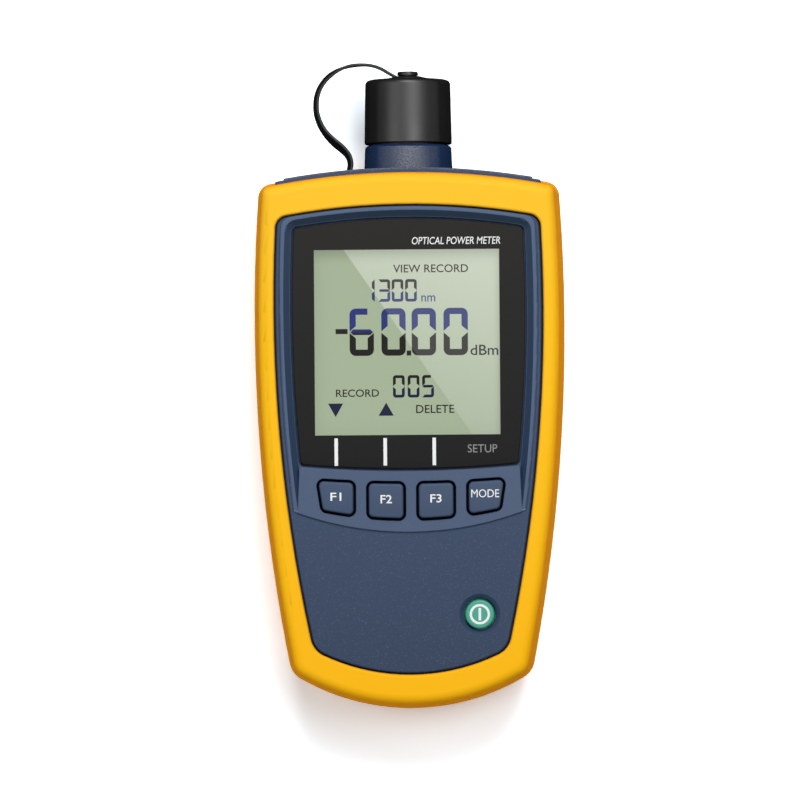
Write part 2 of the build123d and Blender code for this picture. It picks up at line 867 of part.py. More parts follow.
def make_port_panel():
    """Top panel: pad, trapped flange, neck and spigot for the dust cap."""
    seat = cavity_inset + fit_gap
    depth = seat + flange_thickness
    pad = (body_outline(0) - body_outline(depth)) & top_column(pad_half)
    panel = slab(pad, pad_low_z, pad_high_z)
    rim = (body_outline(seat) - body_outline(depth)) & top_column(pad_half - pad_skin)
    panel += slab(rim, flange_low_z, flange_high_z)
    hollow = (body_outline(pad_skin) - body_outline(2 * depth)) & top_column(pad_half - pad_wall)
    panel -= slab(hollow, pad_low_z + pad_wall, pad_high_z - pad_wall)
    panel += port_neck()
    bore = port_bore / 2
    low = crown_y - 2 * depth
    high = neck_top_y + 2 * spigot_height
    panel -= turned((0, low), (bore, low), (bore, high), (0, high))
    return panel - strap_slot(depth)


def strap_slot(depth):
    """Slot in the top panel that the strap passes through."""
    half = strap_thickness / 2 + strap_slot_gap
    wide = strap_width / 2 + strap_slot_gap
    x = (strap_anchor_x - half, strap_anchor_x + half)
    return block(x, (crown_y - depth, crown_y + pad_skin), port_height - wide, port_height + wide)


def port_neck():
    """Round neck with a slight draft and a narrower spigot above it."""
    low = crown_y - pad_skin / 2
    top = neck_top_y
    spigot = spigot_diameter / 2
    top_r = spigot + neck_shoulder
    low_r = top_r + neck_draft
    end = top + spigot_height
    return turned((0, low), (low_r, low), (top_r, top - neck_chamfer), (top_r - neck_chamfer, top),
                  (spigot, top), (spigot, end), (0, end))


def barrel_levels():
    """Y levels of the barrel: tail end, flange seat and rim."""
    seat = crown_y - pad_skin - barrel_seat_gap
    tail = seat - barrel_flange_thickness - barrel_tail
    return tail, seat, neck_top_y + barrel_rise


def make_detector_barrel():
    """Metal barrel with a flange behind the panel and a window to the detector."""
    tail, seat, rim = barrel_levels()
    body = port_bore / 2 - barrel_gap
    flange = barrel_flange_diameter / 2
    thread = adapter_thread_diameter / 2 + barrel_gap
    window = barrel_window / 2
    pocket = can_diameter / 2 + barrel_gap
    floor = tail + can_height + barrel_gap
    shelf = floor + barrel_floor
    return turned((pocket, tail), (barrel_tail_diameter / 2, tail),
                  (barrel_tail_diameter / 2, seat - barrel_flange_thickness),
                  (flange, seat - barrel_flange_thickness), (flange, seat), (body, seat), (body, rim),
                  (thread, rim), (thread, shelf), (window, shelf), (window, floor), (pocket, floor))


def make_photodiode():
    """Detector can, pressed into the barrel's tail."""
    tail = barrel_levels()[0]
    top = tail + can_height
    wide = can_diameter / 2
    narrow = wide - can_rim
    rim = tail + can_rim
    return turned((0, tail), (wide, tail), (wide, rim), (narrow, rim), (narrow, top), (0, top))


def make_detector_flex():
    """Flexible strip from the detector to the underside of the board."""
    tail = barrel_levels()[0]
    half = flex_thickness / 2
    lap_y = crown_y - board_head_room - flex_lap
    low_y = min(tail - flex_reach, lap_y)
    rise = can_diameter / 3
    end_z = board_low_z - half
    points = [(tail - half, port_height - rise), (tail - half, port_height + rise),
              (low_y, end_z), (low_y - flex_lap, end_z)]
    line = FilletPolyline(*points, radius=[flex_bend, flex_bend])
    strip = make_face(offset(line, half, side=Side.BOTH))
    leaf = extrude(strip, flex_width / 2, both=True)
    return Plane(origin=(0, 0, 0), x_dir=(0, 1, 0), z_dir=(1, 0, 0)).location * leaf


def make_fibre_adapter():
    """Removable fibre adapter: threaded root, fluted ring and nose with a ferrule bore."""
    rim = barrel_levels()[2] + barrel_gap
    root = rim - adapter_thread_length
    top = neck_top_y + adapter_rise
    ring = top - adapter_nose_length
    bore = ferrule_bore / 2
    thread = adapter_thread_diameter / 2
    wide = adapter_diameter / 2
    nose = adapter_nose_diameter / 2
    body = turned((bore, root), (thread, root), (thread, rim), (wide, rim), (wide, ring),
                  (nose, ring), (nose, top), (bore, top))
    flute = Rot(90, 0, 0) * Cylinder(flute_diameter / 2, ring - rim)
    axis = Pos(0, (ring + rim) / 2, port_height)
    for index in range(adapter_flutes):
        body -= axis * Rot(0, index * 360 / adapter_flutes, 0) * Pos(wide, 0, 0) * flute
    return body


def make_dust_cap():
    """Rubber cap with a mushroom nub that keeps the strap's ring."""
    rim = cap_rim_y
    top = rim + cap_height
    inner = spigot_diameter / 2 + cap_fit
    roof = top - cap_roof
    stem = nub_stem_diameter / 2
    head = nub_head_diameter / 2
    under = top + strap_thickness + 2 * strap_gap
    end = under + nub_head_height
    skirt = inner + cap_wall
    crown = skirt - cap_draft
    points = [(0, roof), (inner, roof), (inner, rim), (skirt, rim), (crown, top),
              (stem, top), (stem, under), (head, under), (head, end), (0, end)]
    radii = [0, cap_roof / 2, 0, nub_round, cap_round, 0, 0, 0, nub_round, 0]
    return turned(*points, radius=radii)


def make_cap_tether():
    """Moulded rubber strap: ring round the nub, ribbon and anchor bar in the case."""
    shift = Pos(0, crown_y)
    ribbon_area = make_face(offset(strap_path, strap_thickness / 2, side=Side.BOTH))
    ribbon = extrude(ribbon_area, strap_width / 2, both=True)
    strap = shift * Pos(0, 0, port_height) * ribbon
    top = cap_rim_y + cap_height + strap_gap
    end = top + strap_thickness
    hole = nub_stem_diameter / 2 + strap_gap
    wide = strap_ring_diameter / 2
    low = top - wide
    high = end + wide
    strap -= turned((0, low), (wide - hole, low), (wide - hole, high), (0, high))
    strap += turned((hole, top), (wide, top), (wide, end), (hole, end))
    low = crown_y - strap_anchor_depth
    half = strap_width / 2 + strap_bar / 2
    x = (strap_anchor_x - strap_bar, strap_anchor_x + strap_bar)
    return strap + block(x, (low - strap_bar_thickness, low), port_height - half, port_height + half)


def save(name, solid):
    """Write one piece."""
    export_step(solid, f"parts/{name}.step")


os.makedirs("parts", exist_ok=True)
save("holster", make_holster())
save("front_case", make_front_case())
save("rear_case", make_rear_case())
save("port_panel", make_port_panel())
save("display_lens", make_display_lens())
save("lcd_panel", make_lcd_panel())
save("lcd_light_guide", make_light_guide())
save("lcd_contact_strips", make_contact_strips())
save("lcd_holder", make_lcd_holder())
for key_index, key_name in enumerate(("key_f1", "key_f2", "key_f3", "key_mode")):
    save(key_name, make_key(key_index))
save("power_button", make_power_button())
save("keypad_mat", make_keypad_mat())
save("main_board", make_main_board())
save("board_chips", make_board_chips())
save("board_screws", make_board_screws())
save("case_screws", make_case_screws())
save("detector_barrel", make_detector_barrel())
save("photodiode", make_photodiode())
save("detector_flex", make_detector_flex())
save("fibre_adapter", make_fibre_adapter())
save("dust_cap", make_dust_cap())
save("cap_tether", make_cap_tether())
save("battery_cover", make_battery_cover())
save("battery_left", make_cell(-1))
save("battery_right", make_cell(1))
save("battery_contacts", make_upper_contacts())
save("battery_bridge", make_battery_bridge())
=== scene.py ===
import bpy
import math
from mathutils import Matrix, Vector


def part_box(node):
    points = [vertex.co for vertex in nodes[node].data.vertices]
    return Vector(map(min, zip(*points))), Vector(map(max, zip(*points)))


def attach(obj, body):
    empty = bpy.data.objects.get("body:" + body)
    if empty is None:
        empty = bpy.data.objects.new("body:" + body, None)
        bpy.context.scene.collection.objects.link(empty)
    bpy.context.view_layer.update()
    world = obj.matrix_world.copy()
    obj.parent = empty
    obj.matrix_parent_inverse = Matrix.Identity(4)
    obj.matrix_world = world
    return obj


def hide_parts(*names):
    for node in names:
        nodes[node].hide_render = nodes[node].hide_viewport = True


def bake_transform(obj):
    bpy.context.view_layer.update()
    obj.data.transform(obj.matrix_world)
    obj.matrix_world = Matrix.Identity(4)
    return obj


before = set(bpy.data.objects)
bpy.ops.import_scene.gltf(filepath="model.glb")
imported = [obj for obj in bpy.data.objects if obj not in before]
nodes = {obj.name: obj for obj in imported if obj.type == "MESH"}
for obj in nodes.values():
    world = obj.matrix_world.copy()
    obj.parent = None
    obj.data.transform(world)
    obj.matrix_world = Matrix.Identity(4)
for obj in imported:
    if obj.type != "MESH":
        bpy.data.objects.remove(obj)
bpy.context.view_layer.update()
mm = 0.001  # lengths below are written in millimetres
print("stage: frame loaded")


def linear(rgb):
    # 0-255 display colour to the linear values that shaders take
    out = []
    for part in rgb:
        c = part / 255
        out.append(c / 12.92 if c <= 0.04045 else ((c + 0.055) / 1.055) ** 2.4)
    return (*out, 1.0)


def shade(rgb, gain):
    return tuple(min(255, part * gain) for part in rgb)


noiseLook = {"low": 0.3, "high": 0.7, "detail": 3.0, "rough": 0.55}  # nearly all values are from low to high
glossLook = {"full": 0.03, "none": 0.34}  # how far a surface is turned where its shine fades and is gone


class Shader:
    # a material under construction, with short ways to add and join nodes
    def __init__(self, name):
        self.material = bpy.data.materials.new(name)
        self.material.use_nodes = True
        self.tree = self.material.node_tree
        self.tree.nodes.clear()
        self.output = self.tree.nodes.new("ShaderNodeOutputMaterial")
        self.place = self.tree.nodes.new("ShaderNodeTexCoord").outputs["Object"]

    def node(self, kind, values=None, **settings):
        made = self.tree.nodes.new(kind)
        for key, value in settings.items():
            setattr(made, key, value)
        for key, value in (values or {}).items():
            if isinstance(value, bpy.types.NodeSocket):
                self.tree.links.new(value, made.inputs[key])
            else:
                made.inputs[key].default_value = value
        return made

    def math(self, operation, a, b=0.0):
        return self.node("ShaderNodeMath", {0: a, 1: b}, operation=operation).outputs[0]

    def add(self, a, b):
        return self.math("ADD", a, b)

    def times(self, a, b):
        return self.math("MULTIPLY", a, b)

    def minus(self, a, b):
        return self.math("SUBTRACT", a, b)

    def noise(self, scale, detail=noiseLook["detail"], rough=noiseLook["rough"]):
        values = {"Vector": self.place, "Scale": scale, "Detail": detail, "Roughness": rough}
        return self.node("ShaderNodeTexNoise", values).outputs["Fac"]

    def ramp(self, factor, stops):
        made = self.node("ShaderNodeValToRGB", {"Fac": factor})
        elements = made.color_ramp.elements
        while len(elements) < len(stops):
            elements.new(0.5)
        for element, (at, colour) in zip(elements, stops):
            element.position = at
            element.color = colour
        return made.outputs["Color"]

    def range(self, value, low, high, outLow=0.0, outHigh=1.0, **settings):
        values = {"Value": value, "From Min": low, "From Max": high, "To Min": outLow, "To Max": outHigh}
        return self.node("ShaderNodeMapRange", values, **settings).outputs["Result"]

    def swing(self, noise, low, high):
        # from one value to another over the span of a noise
        return self.range(noise, noiseLook["low"], noiseLook["high"], low, high)

    def uneven(self, noise, look):
        # roughness that wanders a little about its middle value
        return self.swing(noise, look["rough"] - look["uneven"], look["rough"] + look["uneven"])

    def tint(self, noise, low, high):
        # from one display colour to another over the span of a noise
        return self.ramp(noise, [(noiseLook["low"], linear(low)), (noiseLook["high"], linear(high))])

    def axes(self):
        return self.node("ShaderNodeSeparateXYZ", {"Vector": self.place}).outputs

    def mix(self, factor, a, b):
        return self.node("ShaderNodeMix", {0: factor, 6: a, 7: b}, data_type="RGBA").outputs[2]

    def blend(self, factor, a, b):
        # two surfaces in one
        return self.node("ShaderNodeMixShader", {0: factor, 1: a.outputs[0], 2: b.outputs[0]})

    def bump(self, height, strength, depth, normal=None):
        values = {"Height": height, "Strength": strength, "Distance": depth * mm}
        if normal:
            values["Normal"] = normal
        return self.node("ShaderNodeBump", values).outputs["Normal"]

    def gloss(self, level):
        # satin finish: the shine fades where the surface turns away
        facing = self.node("ShaderNodeLayerWeight").outputs["Facing"]
        return self.range(facing, glossLook["full"], glossLook["none"], level, 0.0,
                          interpolation_type="SMOOTHSTEP")

    def sheen(self):
        # 1 on the side of the display where a faint diagonal reflection lies
        x, y = self.axes()[:2]
        cross = self.add(self.times(x, lensLook["sheenX"]), self.times(y, lensLook["sheenY"]))
        start = lensLook["sheenAt"] * mm
        return self.range(cross, start, start + lensLook["sheenEdge"] * mm)

    def finish(self, surface):
        self.tree.links.new(surface.outputs[0], self.output.inputs["Surface"])
        return self.material

    def coat(self, values):
        return self.finish(self.node("ShaderNodeBsdfPrincipled", values))


# what a plain coat has unless its own look says otherwise
coatLook = {"drift": 60.0, "spread": 0.05, "bump": 0.2, "depth": 0.05, "metal": 0.0, "shine": 0.5,
            "uneven": 0.05, "grainDetail": 2.0}


def grainy(name, look):
    # coat of one colour with a fine grain, slow drift and uneven gloss
    look = {**coatLook, **look}
    s = Shader(name)
    fine = s.noise(look["grain"], look["grainDetail"])
    slow = s.noise(look["drift"])
    both = s.add(s.times(fine, 0.5), s.times(slow, 0.5))
    low, high = shade(look["colour"], 1 - look["spread"]), shade(look["colour"], 1 + look["spread"])
    return s.coat({"Base Color": s.tint(both, low, high), "Metallic": look["metal"],
                   "Roughness": s.uneven(slow, look),
                   "Specular IOR Level": s.gloss(look["satin"]) if "satin" in look else look["shine"],
                   "Normal": s.bump(fine, look["bump"], look["depth"])})


def dress(name, material):
    nodes[name].data.materials.clear()
    nodes[name].data.materials.append(material)


# side is a painted shade for the steep sides; heel, middle and top grade a painted light falloff, darker
# towards the heel
yellowLook = {"side": (255, 168, 34), "heel": (248, 182, 12), "middle": (248, 189, 26),
              "top": (249, 193, 46), "stops": (0.1, 0.6, 0.95), "from": -84.0, "to": 57.0, "fade": 0.8,
              "cloud": 0.2, "steep": 0.15, "flat": 0.85, "grain": 2600.0, "grainDetail": 2.0, "drift": 35.0,
              "roughLow": 0.5, "roughHigh": 0.6, "shine": 0.1, "bump": 0.12, "depth": 0.04}


def makeYellow():
    # the boot: a touch deeper towards the heel, a painted light falloff mixed with random clouds, and on its
    # steep sides a deeper orange that is painted side shade
    s = Shader("holsterRubber")
    fine = s.noise(yellowLook["grain"], yellowLook["grainDetail"])
    slow = s.noise(yellowLook["drift"])
    along = s.range(s.axes()[1], yellowLook["from"] * mm, yellowLook["to"] * mm)
    tone = s.add(s.times(along, yellowLook["fade"]), s.times(slow, yellowLook["cloud"]))
    colours = [linear(yellowLook[place]) for place in ("heel", "middle", "top")]
    front = s.ramp(tone, list(zip(yellowLook["stops"], colours)))
    # faces that lean away from level get the painted side shade
    turned = s.node("ShaderNodeSeparateXYZ", {"Vector": s.node("ShaderNodeNewGeometry").outputs["Normal"]})
    flat = s.range(turned.outputs["Z"], yellowLook["steep"], yellowLook["flat"])
    return s.coat({"Base Color": s.mix(flat, linear(yellowLook["side"]), front),
                   "Roughness": s.swing(slow, yellowLook["roughLow"], yellowLook["roughHigh"]),
                   "Specular IOR Level": s.gloss(yellowLook["shine"]),
                   "Normal": s.bump(fine, yellowLook["bump"], yellowLook["depth"])})


blueLook = {"grain": 2400.0, "grainRough": 0.65, "drift": 30.0, "fade": 0.8, "cloud": 0.2,
            "stops": (0.1, 0.9), "shine": 0.25, "bump": 0.45, "worn": 0.3, "wornSamples": 4, "uneven": 0.05,
            "speck": 0.0, "specks": 2200.0, "speckDetail": 2.0, "speckRough": 0.7, "speckFrom": 0.56,
            "speckTo": 0.74, "speckTone": (120, 140, 168)}


def makeBlue(name, look):
    # spark-eroded case plastic with softly worn edges, darker towards the heel and lighter towards the port
    # along Y, a painted light falloff, with lighter flecks that are painted glints on the grain
    look = {**blueLook, **look}
    s = Shader(name)
    fine = s.noise(look["grain"], rough=look["grainRough"])
    slow = s.noise(look["drift"])
    start, end = look["span"]
    # darker towards the heel, lighter towards the port: painted light falloff
    along = s.range(s.axes()[1], start * mm, end * mm)
    tone = s.add(s.times(along, look["fade"]), s.times(fine, look["cloud"]))
    plain = s.ramp(tone, list(zip(look["stops"], (linear(look["low"]), linear(look["high"])))))
    # lighter flecks are painted glints standing in for the sparkle of the grain
    flecks = s.noise(look["specks"], look["speckDetail"], look["speckRough"])
    speck = s.range(flecks, look["speckFrom"], look["speckTo"], 0.0, look["speck"])
    worn = s.node("ShaderNodeBevel", {"Radius": look["worn"] * mm}, samples=look["wornSamples"]).outputs[0]
    return s.coat({"Base Color": s.mix(speck, plain, linear(look["speckTone"])),
                   "Roughness": s.uneven(slow, look), "Specular IOR Level": s.gloss(look["shine"]),
                   "Normal": s.bump(fine, look["bump"], look["depth"], worn)})


yellow = makeYellow()
faceBlue = makeBlue("caseFace", {"low": (45, 61, 86), "high": (54, 71, 98), "span": (-75, -25),
                                 "depth": 0.07, "rough": 0.55, "speck": 0.16})
# lit and shaded copies of the one case plastic: the raised parts painted lighter, the slopes and key gaps
# painted shade, the panel's lower edge a painted highlight
raisedLitBlue = makeBlue("caseRaisedLit", {"low": (72, 88, 116), "high": (74, 92, 122), "span": (-24, -12),
                                     "depth": 0.04, "rough": 0.48, "speck": 0.1})
slopeShadeBlue = makeBlue("caseSlopeShade", {"low": (50, 68, 94), "high": (60, 77, 98), "span": (-24, 40),
                                   "depth": 0.02, "rough": 0.55})
edgeHighlightBlue = makeBlue("panelEdgeHighlight", {"low": (112, 129, 156), "high": (118, 135, 162), "span": (-40, -24),
                                  "depth": 0.02, "rough": 0.5})
gapShadeBlue = makeBlue("keyGapShade", {"low": (10, 14, 26), "high": (12, 17, 30), "span": (-40, -20),
                                "depth": 0.02, "rough": 0.7, "shine": 0.1})
keyBlue = makeBlue("keyCap", {"low": (58, 74, 101), "high": (66, 83, 110), "span": (-33, -24),
                              "depth": 0.02, "rough": 0.5})
portBlue = makeBlue("portPanel", {"low": (28, 45, 76), "high": (30, 48, 80), "span": (45, 65),
                                  "depth": 0.45, "rough": 0.36, "shine": 1.0, "speck": 0.1})
print("stage: main materials")

# front case: the raised ridge and key panel are smoother than the lower face and painted lighter; the slopes
# and key-hole walls get painted shade, the panel's lower edge a painted highlight
# step, face, dish and hole are heights, panel is a place along Y, steep and flat are how level a face lies
frontLook = {"step": 37.05, "face": 36.95, "dish": 36.7, "hole": 35.0, "panel": -21.0, "steep": 0.3,
             "flat": 0.97}


def frontFinish(face, low, high):
    # 0 lower face, 1 raised and painted lighter, 2 slope to the lens or dish in painted shade, 3 lower edge
    # of the panel with a painted highlight, 4 wall of a key's hole in painted shade
    tilted = frontLook["steep"] < face.normal.z < frontLook["flat"]
    if high < frontLook["step"]:
        return 2 if tilted and frontLook["hole"] < low < frontLook["dish"] else 0
    outward = face.normal.z < frontLook["flat"] and face.normal.y < -abs(face.normal.x)
    if outward and low > frontLook["dish"] and face.center.y < frontLook["panel"] * mm:
        return 3
    if low > frontLook["face"]:
        return 1
    if tilted:
        return 2
    return 4 if low < frontLook["hole"] else 1


def dressFront():
    mesh = nodes["front_case"].data
    mesh.materials.clear()
    for material in (faceBlue, raisedLitBlue, slopeShadeBlue, edgeHighlightBlue, gapShadeBlue):
        mesh.materials.append(material)
    for face in mesh.polygons:
        levels = [mesh.vertices[i].co.z / mm for i in face.vertices]
        face.material_index = frontFinish(face, min(levels), max(levels))


def dressKey(name):
    # the flange deep in the gap is in shade
    mesh = nodes[name].data
    dress(name, keyBlue)
    mesh.materials.append(gapShadeBlue)
    for face in mesh.polygons:
        face.material_index = 1 if face.center.z < frontLook["hole"] * mm else 0


dress("holster", yellow)
dressFront()
for name in ("rear_case", "battery_cover"):
    dress(name, faceBlue)
dress("port_panel", portBlue)
for name in ("key_f1", "key_f2", "key_f3", "key_mode"):
    dressKey(name)

# display lens: black printed border round a clear window, with a faint painted diagonal reflection; the
# border is painted lighter towards the port, a painted light falloff
lensLook = {"half": 23.95, "shift": -0.45, "low": -12.9, "high": 35.05, "edge": 0.05,
            "sheenX": 0.824, "sheenY": 0.566, "sheenAt": 5.95, "sheenEdge": 0.25, "film": 0.03,
            "dust": 900.0, "dustDetail": 4.0, "cloud": 0.2, "fade": 0.8, "from": -22.0, "to": 43.0,
            "stops": (0.1, 0.9), "dark": (36, 36, 36), "pale": (47, 46, 45), "roughLow": 0.06,
            "roughHigh": 0.1, "shine": 0.3, "clear": (250, 251, 249), "reflectionGrey": (0.9, 0.9, 0.9, 1.0),
            "refraction": 1.3}


def makeLens():
    s = Shader("displayLens")
    x, y = s.axes()[:2]
    edge = lensLook["edge"] * mm
    half = lensLook["half"] * mm
    middle = (lensLook["low"] + lensLook["high"]) / 2 * mm
    reach = (lensLook["high"] - lensLook["low"]) / 2 * mm
    inX = s.range(s.math("ABSOLUTE", s.minus(x, lensLook["shift"] * mm)), half, half - edge)
    inY = s.range(s.math("ABSOLUTE", s.minus(y, middle)), reach, reach - edge)
    dust = s.noise(lensLook["dust"], lensLook["dustDetail"])
    # the border's black turns lighter towards the port: painted light falloff, with random dust tone
    rise = s.range(y, lensLook["from"] * mm, lensLook["to"] * mm, 0.0, lensLook["fade"])
    ends = (linear(lensLook["dark"]), linear(lensLook["pale"]))
    black = s.ramp(s.add(s.times(dust, lensLook["cloud"]), rise), list(zip(lensLook["stops"], ends)))
    rough = s.swing(dust, lensLook["roughLow"], lensLook["roughHigh"])
    border = s.node("ShaderNodeBsdfPrincipled", {"Base Color": black, "Roughness": rough,
                                                 "Specular IOR Level": lensLook["shine"]})
    clear = s.node("ShaderNodeBsdfTransparent", {"Color": linear(lensLook["clear"])})
    reflectionGrey = s.node("ShaderNodeBsdfDiffuse", {"Color": lensLook["reflectionGrey"]})
    # beyond the diagonal a faint matt grey is mixed into the clear pane: painted reflection
    pane = s.blend(s.times(s.sheen(), lensLook["film"]), clear, reflectionGrey)
    gloss = s.node("ShaderNodeBsdfGlossy", {"Roughness": rough, "Color": lensLook["reflectionGrey"]})
    # the gloss is on the outer face alone: from inside, a Fresnel would turn the window into a mirror
    outer = s.minus(1.0, s.node("ShaderNodeNewGeometry").outputs["Backfacing"])
    shine = s.times(s.node("ShaderNodeFresnel", {"IOR": lensLook["refraction"]}).outputs[0], outer)
    window = s.blend(shine, pane, gloss)
    return s.finish(s.blend(s.times(inX, inY), border, window))


dress("display_lens", makeLens())

lcdLook = {"lift": 0.01, "ink": 0.03, "weight": 0.008, "mirror": 0.42, "glow": 0.745, "riseX": 6.0,
           "riseY": 15.0, "step": 0.2, "base": 0.1, "grain": 7000.0, "grainDetail": 2.0, "grainGain": 0.04,
           "roughSpan": 0.01, "roughLow": 0.5, "roughHigh": 0.6, "shine": 0.1,
           "stops": (0.0, 0.1, 1.0), "tones": ((156, 168, 144), (163, 175, 151), (202, 209, 194))}


def makeLcd():
    # grey-green reflective display, lighter beyond a diagonal edge and more so towards the port, a painted
    # reflection; its emission is painted light that keeps it bright where the lens border shades it
    s = Shader("displayGlass")
    x, y = s.axes()[:2]
    # the painted reflection grows along Y and X beyond the diagonal
    rise = s.add(s.times(y, lcdLook["riseY"]), s.times(x, lcdLook["riseX"]))
    gain = s.times(s.add(rise, lcdLook["step"]), s.sheen())
    grain = s.times(s.minus(s.noise(lcdLook["grain"], lcdLook["grainDetail"]), 0.5), lcdLook["grainGain"])
    tone = s.add(s.add(gain, grain), lcdLook["base"])
    colour = s.ramp(tone, list(zip(lcdLook["stops"], [linear(part) for part in lcdLook["tones"]])))
    # the lit colour is dimmed, and the painted emission gives most of the brightness
    dim = s.node("ShaderNodeVectorMath", {0: colour, "Scale": lcdLook["mirror"]}, operation="SCALE")
    span = lcdLook["roughSpan"]
    return s.coat({"Base Color": dim.outputs[0], "Specular IOR Level": lcdLook["shine"],
                   "Roughness": s.range(grain, -span, span, lcdLook["roughLow"], lcdLook["roughHigh"]),
                   "Emission Color": colour, "Emission Strength": lcdLook["glow"]})


dress("lcd_panel", makeLcd())

plainLooks = {
    "lcd_light_guide": {"colour": (228, 232, 228), "grain": 900.0, "rough": 0.3, "bump": 0.1},
    "lcd_contact_strips": {"colour": (90, 90, 96), "grain": 5200.0, "spread": 0.2, "rough": 0.7},
    "lcd_holder": {"colour": (216, 216, 210), "grain": 1800.0, "rough": 0.5},
    "power_button": {"colour": (64, 160, 138), "grain": 2600.0, "spread": 0.04, "rough": 0.45,
                     "bump": 0.15},
    "keypad_mat": {"colour": (150, 150, 146), "grain": 2200.0, "rough": 0.7},
    "board_chips": {"colour": (26, 26, 28), "grain": 3600.0, "spread": 0.15, "rough": 0.55},
    "detector_flex": {"colour": (196, 118, 40), "grain": 1500.0, "rough": 0.35},
    "dust_cap": {"colour": (29, 29, 29), "grain": 3000.0, "spread": 0.1, "rough": 0.42, "satin": 0.75},
    "board_screws": {"colour": (170, 170, 168), "grain": 3000.0, "rough": 0.3, "metal": 1.0},
    "case_screws": {"colour": (150, 150, 150), "grain": 3000.0, "rough": 0.35, "metal": 1.0},
    "photodiode": {"colour": (196, 186, 160), "grain": 2500.0, "rough": 0.25, "metal": 1.0},
    "battery_contacts": {"colour": (206, 204, 196), "grain": 2500.0, "rough": 0.25, "metal": 1.0},
}
for name, look in plainLooks.items():
    dress(name, grainy(name + "Coat", look))
dress("battery_bridge", nodes["battery_contacts"].data.materials[0])

turnedLook = {"streak": 700.0, "streakDetail": 4.0, "dull": 0.92, "roughLow": 0.22, "roughHigh": 0.34,
              "bump": 0.25, "depth": 0.03}


def makeTurned(name, colour, pitch):
    # lathe-turned metal with fine rings round the port's axis
    s = Shader(name)
    rings = s.math("SINE", s.times(s.axes()[1], 2 * math.pi / (pitch * mm)))
    streak = s.noise(turnedLook["streak"], turnedLook["streakDetail"])
    return s.coat({"Base Color": s.tint(streak, shade(colour, turnedLook["dull"]), colour), "Metallic": 1.0,
                   "Roughness": s.swing(streak, turnedLook["roughLow"], turnedLook["roughHigh"]),
                   "Normal": s.bump(rings, turnedLook["bump"], turnedLook["depth"])})


dress("detector_barrel", makeTurned("barrelMetal", (196, 198, 202), 0.5))
dress("fibre_adapter", makeTurned("adapterMetal", (204, 204, 208), 0.35))

boardLook = {"mask": (22, 92, 52), "maskToo": (26, 104, 58), "track": (44, 130, 78), "grid": 260.0,
             "trackWidth": 0.03, "offset": 0.35, "squash": 0.6, "grain": 800.0, "roughLow": 0.3,
             "roughHigh": 0.45}


def makeBoard():
    # green laminate with a faint grid of copper tracks under the mask
    s = Shader("boardMask")
    values = {"Vector": s.place, "Scale": boardLook["grid"], "Mortar Size": boardLook["trackWidth"],
              "Color1": linear(boardLook["mask"]), "Color2": linear(boardLook["maskToo"]),
              "Mortar": linear(boardLook["track"])}
    brick = s.node("ShaderNodeTexBrick", values, offset=boardLook["offset"], squash=boardLook["squash"])
    rough = s.swing(s.noise(boardLook["grain"]), boardLook["roughLow"], boardLook["roughHigh"])
    return s.coat({"Base Color": brick.outputs["Color"], "Roughness": rough})


dress("main_board", makeBoard())

cellLook = {"from": -24.7, "to": 25.9, "nub": 0.6, "scuff": 500.0, "scuffDetail": 4.0, "ragged": 0.002,
            "steel": (190, 190, 188), "jacket": (52, 56, 62), "band": (196, 122, 62), "jacketAt": 0.02,
            "bandAt": 0.72, "steelAt": 0.94, "metalAt": 0.935, "metalFull": 0.945, "roughLow": 0.25,
            "roughHigh": 0.4}


def makeCell(name, middle, way):
    # printed jacket with bare metal at both ends and a coloured band at the nub's end
    s = Shader(name)
    along = s.times(s.minus(s.axes()[1], middle), way)
    place = s.range(along, cellLook["from"] * mm, cellLook["to"] * mm)
    scuff = s.noise(cellLook["scuff"], cellLook["scuffDetail"])
    tone = s.add(place, s.times(s.minus(scuff, 0.5), cellLook["ragged"]))
    ramp = s.node("ShaderNodeValToRGB", {"Fac": tone})
    ramp.color_ramp.interpolation = "CONSTANT"
    elements = ramp.color_ramp.elements
    for part in ("jacket", "band", "steel"):
        elements.new(cellLook[part + "At"]).color = linear(cellLook[part])
    elements[0].color = linear(cellLook["steel"])
    elements[-1].color = linear(cellLook["steel"])
    return s.coat({"Base Color": ramp.outputs["Color"],
                   "Metallic": s.range(tone, cellLook["metalAt"], cellLook["metalFull"]),
                   "Roughness": s.swing(scuff, cellLook["roughLow"], cellLook["roughHigh"])})


for name, way in (("battery_left", 1.0), ("battery_right", -1.0)):
    low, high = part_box(name)
    dress(name, makeCell(name + "Jacket", (low.y + high.y) / 2 - cellLook["nub"] * mm * way, way))
print("stage: inner materials")


def meshPiece(name, points, faces, material, body, smooth=False):
    mesh = bpy.data.meshes.new(name)
    mesh.from_pydata(points, [], faces)
    mesh.validate()
    mesh.update()
    mesh.materials.append(material)
    if smooth:
        for face in mesh.polygons:
            face.use_smooth = True
    piece = bpy.data.objects.new(name, mesh)
    bpy.context.scene.collection.objects.link(piece)
    if body:
        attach(piece, body)
    return piece


def prisms(outlines, low, high):
    # flat outlines in millimetres, each raised between two levels
    points, faces = [], []
    for outline in outlines:
        start = len(points)
        count = len(outline)
        points += [(x * mm, y * mm, low * mm) for x, y in outline]
        points += [(x * mm, y * mm, high * mm) for x, y in outline]
        faces.append([start + i for i in reversed(range(count))])
        faces.append([start + count + i for i in range(count)])
        for i in range(count):
            j = (i + 1) % count
            faces.append([start + i, start + j, start + count + j, start + count + i])
    return points, faces


inkLook = {"grain": 6000.0, "grainDetail": 2.0, "matt": 0.6, "printed": 0.5, "uneven": 0.05, "shine": 0.2}
segmentLook = {"grain": 5000.0, "grainDetail": 2.0, "ragged": 0.1, "stops": (0.05, 0.95), "rough": 0.55,
               "shine": 0.2}


